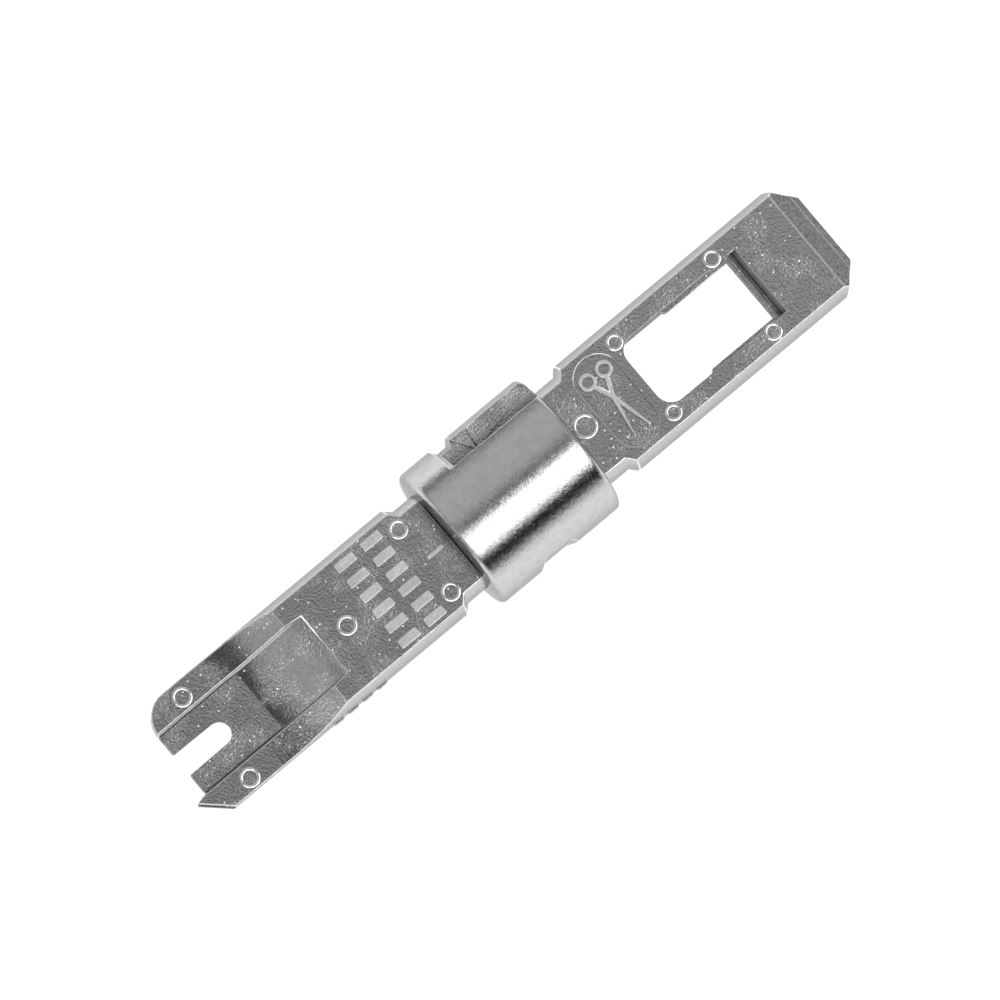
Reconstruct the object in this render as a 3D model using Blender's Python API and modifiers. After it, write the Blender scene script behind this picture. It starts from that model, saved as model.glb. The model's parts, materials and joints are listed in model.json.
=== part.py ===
"""Reversible 66 / 110 twist-lock blade for a punch down tool.

Two blades meet inside a bayonet collar. Each blade is a pair of cast cheeks, one in front of the
mid-plane and one behind it, with hardened inserts seated between them. A flat spine inside the
collar joins the blades, dowels pin the cheeks together and two cross pins hold the collar.

The origin is the centre of the bounding box. +X runs along the blade towards the 110 end, +Z comes
out of the front face and +Y is the guard side of the 66 fork.
"""

import math

import bmesh
import bpy
from mathutils import Matrix

OBJECT_NAME = "punch_down_blade"

# Every length below is in millimetres. MM turns it into metres when a mesh is made.
MM = 0.001

# Both blades are milled from a round-sided bar, so the bar's radius sets their width.
HALF_LENGTH = 32.25
FACE_Z = 2.4
BLADE_RADIUS = 5.07
NECK_RADIUS = 4.47
NECK_66 = (-7.39, -6.78)
NECK_110 = (9.15, 9.67)
TANG_RADIUS = 3.85
TANG_HALF_THICKNESS = 1.85
BLADE_JOINT_X = 1.2
BLADE_JOINT_GAP = 0.1
HALF_SEAM = 0.015
FIT = 0.05
OVERCUT = 1.0

# How finely round shapes are divided, and what counts as one point or as a sharp edge.
ROUND_STEPS = 96
ARC_STEPS = 8
RAMP_STEPS = 16
OVAL_STEPS = 16
SMALL_CORNER_STEPS = 3
WELD_DISTANCE = 0.0005
SHARP_ANGLE = math.radians(25.0)

# Bayonet collar.
COLLAR_RADIUS = 6.2
COLLAR_X = (-4.97, 7.06)
COLLAR_FACE_RADIUS = 4.9
COLLAR_FACE_LEAN = 0.12
COLLAR_EDGE_INSET = 0.6
COLLAR_EDGE_DROP = 0.6
COLLAR_EDGE_STEPS = 5
COLLAR_RELIEF_RADIUS = 4.5
COLLAR_RELIEF_DEPTH = 0.1
ENTRY_FLAT_X = 1.32
ENTRY_LEAD_X = 1.05
ENTRY_FLAT_Y = 3.9
ENTRY_FLAT_Z = 2.4
ENTRY_SLANT = 1.16
ENTRY_LEAD_DEPTH = 0.08
LEAD_INSET = 0.01
LOCK_GROOVE_X = (-1.42, -0.49)
LOCK_GROOVE_SLOPE = 0.4
LOCK_GROOVE_DEPTH = 0.55
LOCK_GROOVE_LOW_Z = -2.5
GROOVE_MOUTH_Z = 1.95
MOUTH_INSET = 0.03
SIDE_NOTCH_X = (-0.95, 2.6)
SIDE_NOTCH_SLOPE = 0.6
SIDE_NOTCH_DEPTH = 0.42
SIDE_NOTCH_Z = (-4.5, 2.6)

# The blades' shoulders stop just short of the relief in each end of the collar.
SHOULDER_X = (
    COLLAR_X[0] + COLLAR_RELIEF_DEPTH - FIT,
    COLLAR_X[1] - COLLAR_RELIEF_DEPTH + FIT,
)

# Hidden spine and the cross pins through it.
SPINE_X = (-9.4, 10.6)
SPINE_HALF_WIDTH = 3.3
SPINE_HALF_THICKNESS = 0.7
COLLAR_PIN_RADIUS = 0.8
COLLAR_PIN_66_X = -2.2
COLLAR_PIN_110_X = 4.4
COLLAR_PIN_Z = (-6.1, 1.4)

# 66 fork: rails, ramp, channel, U slot and spike.
FORK_X = -31.15
GUARD_CORNER_RADIUS = 2.27
RAIL_Z = 0.8
RAIL_REAR_Z = -1.2
RAMP_START_X = -25.35
RAMP_RADIUS = 14.4
CHANNEL_HALF_WIDTH = 2.7
CHANNEL_DEPTH = 0.9
CHANNEL_DRAFT = math.radians(10.0)
SLOT_HALF_MOUTH = 1.0
SLOT_RADIUS = 0.93
SLOT_CENTRE_X = -27.45
SPIKE_ROOT_Y = -2.78
SPIKE_TIP_Y = -3.02
SPIKE_HEEL_X = -30.05
STRIP_Z = (-0.8, -0.05)
FORK_STRIP_ROOT_X = -13.2
FORK_STRIP_HALF_WIDTH = 2.66
CUTTER_66_INNER_Y = -3.12
CUTTER_66_ROOT_X = -21.5

# 110 tip: window, bevel, cutter insert and punch shoe.
WINDOW_X = (14.03, 25.38)
WINDOW_HALF_WIDTH = 3.05
WINDOW_CORNER_RADIUS = 1.35
WINDOW_END_DRAFT = 0.32
REAR_WINDOW_END_X = 25.3
TIP_HALF_WIDTH = 3.08
TIP_CHAMFER_X = 2.0
TIP_CHAMFER_Y = 1.95
BEVEL_START_X = 30.28
BEVEL_EDGE_Z = 0.15
REAR_TIP_X = 31.2
REAR_BEVEL = 0.6
CUTTER_110_Z = (0.05, 0.75)
CUTTER_LEG_X = 18.3
CUTTER_LEG_SLANT = 0.5
CUTTER_LEG_INNER_Y = 2.72
CUTTER_LEG_OUTER_Y = 4.45
CUTTER_BASE_X = 24.83
RELIEF_GROOVE_X = (25.03, 25.38)
RELIEF_GROOVE_DEPTH = 0.45
SHOE_Z = (-1.7, -0.05)
SHOE_HEAD_X = (25.6, 27.0)
SHOE_HEAD_HALF_WIDTH = 3.4
SHOE_STEM_HALF_WIDTH = 2.3
SHOE_TIP_X = 31.75
CLIP_SLOT_HALF_WIDTH = 0.5
CLIP_SLOT_X = 29.6

# Dowels: name, x, y, radius.
DOWEL_END_DROP = 0.03
DOWEL_STEPS = 24
DOWELS_66_TIP = (
    ("dowel_66_tip_guard", -27.93, 3.88, 0.76),
    ("dowel_66_tip_cutter", -27.93, -4.03, 0.76),
)
DOWELS_66 = (
    ("dowel_66_root", -15.1, 0.0, 0.75),
    ("dowel_66_neck_left", -7.47, 3.06, 0.72),
    ("dowel_66_neck_right", -7.47, -3.06, 0.72),
)
DOWELS_110 = (
    ("dowel_110_neck", 8.37, 0.0, 0.93),
    ("dowel_110_mid_left", 14.17, 3.45, 0.64),
    ("dowel_110_mid_right", 14.17, -3.45, 0.64),
    ("dowel_110_tip_left", 23.9, 3.6, 0.67),
    ("dowel_110_tip_right", 23.9, -3.6, 0.67),
)

# Raised pads and the sunk oval with its cutting sign.
RELIEF_HEIGHT = 0.18
RELIEF_ROOT = 0.3
PAD_CORNER_RADIUS = 0.2
PAD_COLUMNS_X = (-12.15, -9.6)
PAD_LENGTH = 1.9
PAD_WIDTH = 0.8
PAD_PITCH = 1.48
PADS_PER_COLUMN = 6
END_MARK_X = -6.45
END_MARK_LENGTH = 1.6
END_MARK_WIDTH = 0.34
END_MARK_CORNER_RADIUS = 0.11
SIDE_PAD_X = (-20.0, -18.6, -17.2, -15.8)
SIDE_PAD_HALF_LENGTH = 0.45
SIDE_PAD_Z = (0.15, 0.95)
SIDE_PAD_OUTER_Y = -5.22
SIDE_PAD_DEPTH = 0.6
OVAL_X = 11.45
OVAL_HALF_WIDTH = 1.8
OVAL_HALF_STRAIGHT = 2.35
OVAL_END_RISE = 1.6
OVAL_DEPTH = 0.2
SIGN_RING_RADIUS = 0.72
SIGN_RING_HOLE = 0.4
SIGN_RING_STEPS = 20
SIGN_RING_Y = 2.45
SIGN_RING_X = 0.8
SIGN_PIVOT_Y = 0.35
SIGN_BLADE_TIP_Y = -3.1
SIGN_BLADE_TIP_X = -0.75
SIGN_ARM_HALF_WIDTH = 0.2
SIGN_ARM_JOIN = 0.8
SIGN_PIVOT_SPREAD = 1.2

# Colours: base colour and roughness of each finish.
FINISHES = {
    "cast_nickel": ((0.50, 0.49, 0.47, 1.0), 0.42),
    "turned_nickel": ((0.60, 0.59, 0.57, 1.0), 0.20),
    "hardened_steel": ((0.42, 0.42, 0.43, 1.0), 0.33),
    "spine_steel": ((0.38, 0.38, 0.39, 1.0), 0.45),
    "dowel_steel": ((0.47, 0.46, 0.45, 1.0), 0.36),
}


# ---------------------------------------------------------------- scene and materials


def clear_scene():
    for obj in list(bpy.data.objects):
        bpy.data.objects.remove(obj, do_unlink=True)


def make_collection(name):
    collection = bpy.data.collections.new(name)
    bpy.context.scene.collection.children.link(collection)
    return collection


def make_material(name):
    colour, roughness = FINISHES[name]
    material = bpy.data.materials.new(name)
    material.use_nodes = True
    shader = material.node_tree.nodes["Principled BSDF"]
    shader.inputs["Base Color"].default_value = colour
    shader.inputs["Metallic"].default_value = 1.0
    shader.inputs["Roughness"].default_value = roughness
    return material


# ---------------------------------------------------------------- shapes


def arc(centre_x, centre_y, radius_x, radius_y, start, end, steps=ARC_STEPS):
    """Points on an elliptical arc, both ends included. The angles are in degrees."""
    points = []
    for step in range(steps + 1):
        angle = math.radians(start + (end - start) * step / steps)
        points.append((centre_x + radius_x * math.cos(angle), centre_y + radius_y * math.sin(angle)))
    return points


def rectangle(low_x, high_x, low_y, high_y):
    return [(low_x, low_y), (high_x, low_y), (high_x, high_y), (low_x, high_y)]


def rounded_rectangle(centre_x, centre_y, length, width, radius):
    inner_x = length / 2 - radius
    inner_y = width / 2 - radius
    corners = ((1, 1, 0), (-1, 1, 90), (-1, -1, 180), (1, -1, 270))
    points = []
    for side_x, side_y, start in corners:
        corner_x = centre_x + side_x * inner_x
        corner_y = centre_y + side_y * inner_y
        points += arc(corner_x, corner_y, radius, radius, start, start + 90, SMALL_CORNER_STEPS)
    return points


def circle(centre_x, centre_y, radius, steps=DOWEL_STEPS):
    return arc(centre_x, centre_y, radius, radius, 0, 360, steps)[:-1]


def finish_mesh(name, bm, collection):
    """Turns a bmesh in millimetres into an object in metres, welded and with its faces pointing out."""
    bmesh.ops.remove_doubles(bm, verts=bm.verts, dist=WELD_DISTANCE)
    bmesh.ops.transform(bm, matrix=Matrix.Scale(MM, 4), verts=bm.verts)
    bmesh.ops.recalc_face_normals(bm, faces=bm.faces)
    mesh = bpy.data.meshes.new(name)
    bm.to_mesh(mesh)
    bm.free()
    obj = bpy.data.objects.new(name, mesh)
    collection.objects.link(obj)
    return obj


def outline_solid(name, outlines, low, high, collection, along="Z"):
    """Extrudes flat outlines from low to high along Z, or along Y with the outlines drawn in X and Z."""
    curve = bpy.data.curves.new(name, "CURVE")
    curve.dimensions = "2D"
    curve.fill_mode = "BOTH"
    curve.extrude = (high - low) / 2
    for outline in outlines:
        spline = curve.splines.new("POLY")
        spline.points.add(len(outline) - 1)
        for point, (x, y) in zip(spline.points, outline):
            point.co = (x, y, 0.0, 1.0)
        spline.use_cyclic_u = True
    flat = bpy.data.objects.new(name + "_outline", curve)
    collection.objects.link(flat)
    if along == "Z":
        flat.location = (0.0, 0.0, (low + high) / 2)
    else:
        flat.location = (0.0, (low + high) / 2, 0.0)
        flat.rotation_euler = (math.pi / 2, 0.0, 0.0)
    bpy.context.view_layer.update()
    evaluated = flat.evaluated_get(bpy.context.evaluated_depsgraph_get())
    mesh = bpy.data.meshes.new_from_object(evaluated)
    mesh.transform(flat.matrix_world)
    bpy.data.objects.remove(flat, do_unlink=True)
    bm = bmesh.new()
    bm.from_mesh(mesh)
    bpy.data.meshes.remove(mesh)
    return finish_mesh(name, bm, collection)


def box(name, low, high, collection):
    """A box between two corners."""
    bm = bmesh.new()
    bmesh.ops.create_cube(bm, size=1.0)
    size = [high[i] - low[i] for i in range(3)]
    centre = [(high[i] + low[i]) / 2 for i in range(3)]
    bmesh.ops.transform(bm, matrix=Matrix.Diagonal((*size, 1.0)), verts=bm.verts)
    bmesh.ops.translate(bm, vec=centre, verts=bm.verts)
    return finish_mesh(name, bm, collection)


def posts(name, places, low_z, high_z, collection, grow=0.0):
    """Upright cylinders at the places, each given as x, y and radius, in one object."""
    bm = bmesh.new()
    for x, y, radius in places:
        bmesh.ops.create_cone(
            bm,
            cap_ends=True,
            segments=DOWEL_STEPS,
            radius1=radius + grow,
            radius2=radius + grow,
            depth=high_z - low_z,
            matrix=Matrix.Translation((x, y, (low_z + high_z) / 2)),
        )
    return finish_mesh(name, bm, collection)


def turned_bar(name, profile, collection, closed=False):
    """Turns a profile of x and radius round the X axis. The outer side runs in order of falling x."""
    bm = bmesh.new()
    verts = [bm.verts.new((radius, 0.0, x)) for x, radius in profile]
    for first, second in zip(verts, verts[1:]):
        bm.edges.new((first, second))
    if closed:
        bm.edges.new((verts[-1], verts[0]))
    bmesh.ops.transform(bm, matrix=Matrix.Scale(MM, 4), verts=bm.verts)
    mesh = bpy.data.meshes.new(name)
    bm.to_mesh(mesh)
    bm.free()
    obj = bpy.data.objects.new(name, mesh)
    collection.objects.link(obj)
    obj.rotation_euler = (0.0, math.pi / 2, 0.0)
    screw = obj.modifiers.new("turn", "SCREW")
    screw.axis = "Z"
    screw.steps = ROUND_STEPS
    screw.render_steps = ROUND_STEPS
    screw.use_merge_vertices = True
    screw.merge_threshold = 0.00001
    screw.use_smooth_shade = True
    return obj


def boolean(obj, operand, operation="DIFFERENCE"):
    modifier = obj.modifiers.new(operand.name, "BOOLEAN")
    modifier.solver = "EXACT"
    modifier.operation = operation
    modifier.object = operand


# ---------------------------------------------------------------- shared cutters


def blade_envelope(collection):
    """The round bar that both blades are milled from: blade, neck, and tang inside the collar."""
    profile = [
        (HALF_LENGTH + OVERCUT, 0.0),
        (HALF_LENGTH + OVERCUT, BLADE_RADIUS),
        (NECK_110[1], BLADE_RADIUS),
        (NECK_110[0], NECK_RADIUS),
        (SHOULDER_X[1], NECK_RADIUS),
        (SHOULDER_X[1], TANG_RADIUS),
        (SHOULDER_X[0], TANG_RADIUS),
        (SHOULDER_X[0], NECK_RADIUS),
        (NECK_66[1], NECK_RADIUS),
        (NECK_66[0], BLADE_RADIUS),
        (-HALF_LENGTH - OVERCUT, BLADE_RADIUS),
        (-HALF_LENGTH - OVERCUT, 0.0),
    ]
    return turned_bar("cut_blade_envelope", profile, collection)


def tang_face_cutter(side, collection):
    """Thins the blade to the tang's thickness inside the collar, on the front (1) or rear (-1)."""
    near_z = side * TANG_HALF_THICKNESS
    far_z = side * (FACE_Z + OVERCUT)
    reach = BLADE_RADIUS + OVERCUT
    return box(
        f"cut_tang_{'front' if side > 0 else 'rear'}",
        (SHOULDER_X[0], -reach, min(near_z, far_z)),
        (SHOULDER_X[1], reach, max(near_z, far_z)),
        collection,
    )


def spine_outline(grow=0.0):
    return rectangle(
        SPINE_X[0] - grow, SPINE_X[1] + grow, -SPINE_HALF_WIDTH - grow, SPINE_HALF_WIDTH + grow
    )


def ramp_height(x, drop=0.0):
    """Height of the fork's front: level rails, then a concave ramp up to the face."""
    run = max(0.0, x - RAMP_START_X)
    return RAIL_Z - drop + RAMP_RADIUS - math.sqrt(RAMP_RADIUS**2 - run**2)


def ramp_stations(top, drop=0.0):
    """X positions from beyond the fork's end to where the ramp reaches a height just above top."""
    rise = RAMP_RADIUS - (top + FIT - RAIL_Z + drop)
    run = math.sqrt(RAMP_RADIUS**2 - rise**2)
    stations = [-HALF_LENGTH - OVERCUT]
    for step in range(RAMP_STEPS + 1):
        stations.append(RAMP_START_X + run * step / RAMP_STEPS)
    return stations


def front_ramp_cutter(collection):
    """Everything above the rails and the ramp."""
    stations = ramp_stations(FACE_Z)
    outline = [(x, ramp_height(x)) for x in stations]
    outline += [(stations[-1], FACE_Z + OVERCUT), (stations[0], FACE_Z + OVERCUT)]
    return outline_solid(
        "cut_front_ramp", [outline], -BLADE_RADIUS - OVERCUT, BLADE_RADIUS + OVERCUT, collection, "Y"
    )


def rear_ramp_cutter(collection):
    """Everything below the rails on the rear, which the same ramp mirrored leads down to."""
    offset = RAIL_Z + RAIL_REAR_Z
    stations = ramp_stations(FACE_Z + offset)
    outline = [(x, -ramp_height(x) + offset) for x in stations]
    outline += [(stations[-1], -FACE_Z - OVERCUT), (stations[0], -FACE_Z - OVERCUT)]
    return outline_solid(
        "cut_rear_ramp", [outline], -BLADE_RADIUS - OVERCUT, BLADE_RADIUS + OVERCUT, collection, "Y"
    )


def channel_cutter(collection):
    """The drafted channel between the rails, its floor one channel depth below the ramp."""
    top = FACE_Z + OVERCUT
    bm = bmesh.new()
    rings = []
    for x in ramp_stations(FACE_Z, CHANNEL_DEPTH):
        floor = ramp_height(x, CHANNEL_DEPTH)
        wide = CHANNEL_HALF_WIDTH + (top - floor) * math.tan(CHANNEL_DRAFT)
        corners = [
            (x, -CHANNEL_HALF_WIDTH, floor),
            (x, CHANNEL_HALF_WIDTH, floor),
            (x, wide, top),
            (x, -wide, top),
        ]
        rings.append([bm.verts.new(corner) for corner in corners])
    for ring, following in zip(rings, rings[1:]):
        for side in range(4):
            after = (side + 1) % 4
            bm.faces.new((ring[side], ring[after], following[after], following[side]))
    bm.faces.new(rings[0])
    bm.faces.new(rings[-1])
    return finish_mesh("cut_channel", bm, collection)


def slot_outline(grow=0.0):
    """The U slot: an open mouth that narrows to a round end."""
    low_x = -HALF_LENGTH - OVERCUT
    points = [(low_x, -SLOT_HALF_MOUTH - grow)]
    points += arc(SLOT_CENTRE_X, 0.0, SLOT_RADIUS + grow, SLOT_RADIUS + grow, -90, 90)
    points.append((low_x, SLOT_HALF_MOUTH + grow))
    return points


def window_outline(end_x):
    """The window: two round corners at its start and a square far end."""
    radius = WINDOW_CORNER_RADIUS
    half_width = WINDOW_HALF_WIDTH
    points = [(end_x, -half_width), (end_x, half_width)]
    points += arc(WINDOW_X[0] + radius, half_width - radius, radius, radius, 90, 180)
    points += arc(WINDOW_X[0] + radius, radius - half_width, radius, radius, 180, 270)
    return points


def drafted_window_cutter(collection):
    """The front window, whose far end leans out towards the face."""
    cutter = outline_solid(
        "cut_front_window",
        [window_outline(WINDOW_X[1])],
        -OVERCUT,
        FACE_Z + OVERCUT,
        collection,
    )
    slope = WINDOW_END_DRAFT / (FACE_Z - CUTTER_110_Z[1])
    for vert in cutter.data.vertices:
        if abs(vert.co.x - WINDOW_X[1] * MM) < FIT * MM:
            vert.co.x += slope * (vert.co.z - CUTTER_110_Z[1] * MM)
    return cutter


def tip_bevel_cutter(collection):
    """The chisel ground on the front of the 110 tip."""
    fall = (FACE_Z - BEVEL_EDGE_Z) / (HALF_LENGTH - BEVEL_START_X)
    reach = OVERCUT
    high_z = FACE_Z + 3 * reach
    outline = [
        (BEVEL_START_X - reach, FACE_Z + reach * fall),
        (HALF_LENGTH + reach, BEVEL_EDGE_Z - reach * fall),
        (HALF_LENGTH + reach, high_z),
        (BEVEL_START_X - reach, high_z),
    ]
    return outline_solid(
        "cut_tip_bevel", [outline], -BLADE_RADIUS - OVERCUT, BLADE_RADIUS + OVERCUT, collection, "Y"
    )


def places(dowels):
    return [(x, y, radius) for _, x, y, radius in dowels]


# ---------------------------------------------------------------- plan outlines


def front_outline_66():
    """Rails, spike and rounded guard corner, back to the joint inside the collar."""
    root_x = BLADE_JOINT_X - BLADE_JOINT_GAP / 2
    corner_x = FORK_X + GUARD_CORNER_RADIUS
    corner_y = BLADE_RADIUS - GUARD_CORNER_RADIUS
    points = [(root_x, -BLADE_RADIUS - OVERCUT), (root_x, BLADE_RADIUS + OVERCUT)]
    points += [(corner_x, BLADE_RADIUS + OVERCUT)]
    points += arc(corner_x, corner_y, GUARD_CORNER_RADIUS, GUARD_CORNER_RADIUS, 90, 180)
    points += [(FORK_X, SPIKE_ROOT_Y), (-HALF_LENGTH, SPIKE_TIP_Y)]
    points += heel_points(-HALF_LENGTH, SPIKE_TIP_Y)
    return points


def heel_points(start_x, start_y):
    """The spike's slanted heel, carried on past the round side."""
    slope = (-BLADE_RADIUS - SPIKE_TIP_Y) / (SPIKE_HEEL_X + HALF_LENGTH)
    end_y = -BLADE_RADIUS - OVERCUT
    return [(start_x + (end_y - start_y) / slope, end_y)]


def rear_outline_66():
    """As the front, without the spike."""
    slope = (-BLADE_RADIUS - SPIKE_TIP_Y) / (SPIKE_HEEL_X + HALF_LENGTH)
    heel_y = SPIKE_TIP_Y + slope * (FORK_X + HALF_LENGTH)
    points = front_outline_66()[:-3]
    points += [(FORK_X, heel_y)]
    points += heel_points(FORK_X, heel_y)
    return points


def cutter_66_outline(grow=0.0):
    """The hardened strip in the spiked rail. Its end is the spike."""
    return [
        (CUTTER_66_ROOT_X + grow, CUTTER_66_INNER_Y + grow),
        (-HALF_LENGTH - grow, CUTTER_66_INNER_Y + grow),
        (-HALF_LENGTH - grow, CUTTER_66_INNER_Y),
        *heel_points(-HALF_LENGTH - grow, CUTTER_66_INNER_Y),
        (CUTTER_66_ROOT_X + grow, -BLADE_RADIUS - OVERCUT),
    ]


def tip_corners(end_x):
    """The two chamfered corners of the 110 tip, cut square at end_x."""
    slope = TIP_CHAMFER_Y / TIP_CHAMFER_X
    end_y = TIP_HALF_WIDTH + slope * (HALF_LENGTH - end_x)
    far_y = BLADE_RADIUS + OVERCUT
    far_x = HALF_LENGTH - (far_y - TIP_HALF_WIDTH) / slope
    return [(far_x, -far_y), (end_x, -end_y), (end_x, end_y), (far_x, far_y)]


def cheek_outline_110(end_x):
    root_x = BLADE_JOINT_X + BLADE_JOINT_GAP / 2
    side_y = BLADE_RADIUS + OVERCUT
    return [(root_x, side_y), (root_x, -side_y)] + tip_corners(end_x)


def cutter_110_outline(grow=0.0, end_x=HALF_LENGTH):
    """A fork: two legs beside the window and a base that runs out to the cutting edge."""
    slope = TIP_CHAMFER_Y / TIP_CHAMFER_X
    outer = CUTTER_LEG_OUTER_Y + grow
    inner = CUTTER_LEG_INNER_Y - grow
    shoulder_x = HALF_LENGTH - (outer - TIP_HALF_WIDTH) / slope
    end_y = TIP_HALF_WIDTH
    half = [
        (CUTTER_BASE_X - grow, inner),
        (CUTTER_LEG_X + CUTTER_LEG_SLANT - grow, inner),
        (CUTTER_LEG_X - grow, inner + CUTTER_LEG_SLANT),
        (CUTTER_LEG_X - grow, outer),
    ]
    if grow:
        half += [(end_x, outer)]
    else:
        half += [(shoulder_x, outer), (end_x, end_y)]
    return half + [(x, -y) for x, y in reversed(half)]


def shoe_outline(grow=0.0, tip_x=SHOE_TIP_X):
    """A T: the head is trapped between the cheeks and the stem reaches the tip."""
    head_low = SHOE_HEAD_X[0] - grow
    head_high = SHOE_HEAD_X[1] + grow
    head = SHOE_HEAD_HALF_WIDTH + grow
    stem = SHOE_STEM_HALF_WIDTH + grow
    half = [(head_low, head), (head_high, head), (head_high, stem), (tip_x, stem)]
    return half + [(x, -y) for x, y in reversed(half)]


# ---------------------------------------------------------------- raised and sunk marks


def grip_pads(collection):
    """Two columns of raised pads and one end mark on the 66 blade's face."""
    outlines = []
    for column_x in PAD_COLUMNS_X:
        for row in range(PADS_PER_COLUMN):
            y = (row - (PADS_PER_COLUMN - 1) / 2) * PAD_PITCH
            outlines.append(rounded_rectangle(column_x, y, PAD_LENGTH, PAD_WIDTH, PAD_CORNER_RADIUS))
    outlines.append(
        rounded_rectangle(END_MARK_X, 0.0, END_MARK_LENGTH, END_MARK_WIDTH, END_MARK_CORNER_RADIUS)
    )
    return outline_solid(
        "add_grip_pads", outlines, FACE_Z - RELIEF_ROOT, FACE_Z + RELIEF_HEIGHT, collection
    )


def side_pads(collection):
    """A short row of raised pads on the cutter side of the 66 blade."""
    outlines = []
    inner_y = SIDE_PAD_OUTER_Y + SIDE_PAD_DEPTH
    for x in SIDE_PAD_X:
        outlines.append(
            rectangle(x - SIDE_PAD_HALF_LENGTH, x + SIDE_PAD_HALF_LENGTH, SIDE_PAD_OUTER_Y, inner_y)
        )
    return outline_solid("add_side_pads", outlines, *SIDE_PAD_Z, collection)


def oval_outline():
    ends = arc(OVAL_X, OVAL_HALF_STRAIGHT, OVAL_HALF_WIDTH, OVAL_END_RISE, 0, 180, OVAL_STEPS)
    ends += arc(OVAL_X, -OVAL_HALF_STRAIGHT, OVAL_HALF_WIDTH, OVAL_END_RISE, 180, 360, OVAL_STEPS)
    return ends


def scissor_arm(side):
    """One arm of the cutting sign: from its finger ring through the pivot to the blade's tip."""
    width = SIGN_ARM_HALF_WIDTH
    join_x = side * SIGN_RING_X * SIGN_ARM_JOIN
    join_y = SIGN_RING_Y - SIGN_RING_RADIUS + width
    pivot_x = width * SIGN_PIVOT_SPREAD
    tip_x = side * SIGN_BLADE_TIP_X
    arm = [
        (join_x - width, join_y),
        (-pivot_x, SIGN_PIVOT_Y),
        (tip_x, SIGN_BLADE_TIP_Y),
        (tip_x + width, SIGN_BLADE_TIP_Y + width),
        (pivot_x, SIGN_PIVOT_Y),
        (join_x + width, join_y),
    ]
    return [(OVAL_X + x, y) for x, y in arm]


def cutting_sign(collection):
    """Open scissors standing in the oval, level with the face: two arms and two finger rings."""
    low = FACE_Z - OVAL_DEPTH - RELIEF_ROOT
    pieces = []
    for side, word in ((1, "left"), (-1, "right")):
        pieces.append(
            outline_solid(f"add_sign_arm_{word}", [scissor_arm(side)], low, FACE_Z, collection)
        )
        ring_x = OVAL_X + side * SIGN_RING_X
        rings = [
            circle(ring_x, SIGN_RING_Y, SIGN_RING_RADIUS, SIGN_RING_STEPS),
            circle(ring_x, SIGN_RING_Y, SIGN_RING_HOLE, SIGN_RING_STEPS),
        ]
        pieces.append(outline_solid(f"add_sign_ring_{word}", rings, low, FACE_Z, collection))
    return pieces


# ---------------------------------------------------------------- the parts


def build_front_cheek_66(parts, cutters, shared):
    cheek = outline_solid("front_cheek_66", [front_outline_66()], HALF_SEAM, FACE_Z, parts)
    boolean(cheek, shared["envelope"], "INTERSECT")
    boolean(cheek, shared["tang_front"])
    boolean(cheek, front_ramp_cutter(cutters))
    boolean(cheek, channel_cutter(cutters))
    boolean(cheek, shared["spine"])
    boolean(cheek, shared["pin_66"])
    boolean(cheek, grip_pads(cutters), "UNION")
    boolean(cheek, side_pads(cutters), "UNION")
    boolean(cheek, shared["holes_66"])
    return cheek


def build_rear_cheek_66(parts, cutters, shared):
    cheek = outline_solid("rear_cheek_66", [rear_outline_66()], -FACE_Z, -HALF_SEAM, parts)
    boolean(cheek, shared["envelope"], "INTERSECT")
    boolean(cheek, shared["tang_rear"])
    boolean(cheek, rear_ramp_cutter(cutters))
    pocket_low = STRIP_Z[0] - FIT
    strip_side = FORK_STRIP_HALF_WIDTH + FIT
    strip = rectangle(FORK_X - OVERCUT, FORK_STRIP_ROOT_X + FIT, -strip_side, strip_side)
    boolean(cheek, outline_solid("cut_strip_pocket", [strip], pocket_low, OVERCUT, cutters))
    cutter = cutter_66_outline(FIT)
    boolean(cheek, outline_solid("cut_cutter_66_pocket", [cutter], pocket_low, OVERCUT, cutters))
    slot = slot_outline(2 * FIT)
    boolean(cheek, outline_solid("cut_rear_slot", [slot], -FACE_Z - OVERCUT, OVERCUT, cutters))
    boolean(cheek, shared["spine"])
    boolean(cheek, shared["pin_66"])
    boolean(cheek, shared["holes_66"])
    return cheek


def build_fork_strip(parts, cutters, shared):
    outline = rectangle(FORK_X, FORK_STRIP_ROOT_X, -FORK_STRIP_HALF_WIDTH, FORK_STRIP_HALF_WIDTH)
    strip = outline_solid("fork_strip_66", [outline], *STRIP_Z, parts)
    slot = slot_outline()
    boolean(strip, outline_solid("cut_strip_slot", [slot], -FACE_Z - OVERCUT, OVERCUT, cutters))
    boolean(strip, shared["holes_66"])
    return strip


def build_cutter_66(parts, shared):
    cutter = outline_solid("cutter_66", [cutter_66_outline()], *STRIP_Z, parts)
    boolean(cutter, shared["envelope"], "INTERSECT")
    boolean(cutter, shared["holes_66"])
    return cutter


def build_front_cheek_110(parts, cutters, shared):
    plan = cheek_outline_110(HALF_LENGTH)
    cheek = outline_solid("front_cheek_110", [plan], HALF_SEAM, FACE_Z, parts)
    boolean(cheek, shared["envelope"], "INTERSECT")
    boolean(cheek, shared["tang_front"])
    boolean(cheek, drafted_window_cutter(cutters))
    pocket = cutter_110_outline(FIT, HALF_LENGTH + OVERCUT)
    pocket_high = CUTTER_110_Z[1] + FIT
    boolean(cheek, outline_solid("cut_cutter_110_pocket", [pocket], -OVERCUT, pocket_high, cutters))
    boolean(cheek, shared["bevel"])
    boolean(cheek, shared["spine"])
    boolean(cheek, shared["pin_110"])
    sunk = outline_solid("cut_oval", [oval_outline()], FACE_Z - OVAL_DEPTH, FACE_Z + OVERCUT, cutters)
    boolean(cheek, sunk)
    for piece in cutting_sign(cutters):
        boolean(cheek, piece, "UNION")
    boolean(cheek, shared["holes_110"])
    return cheek


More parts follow.
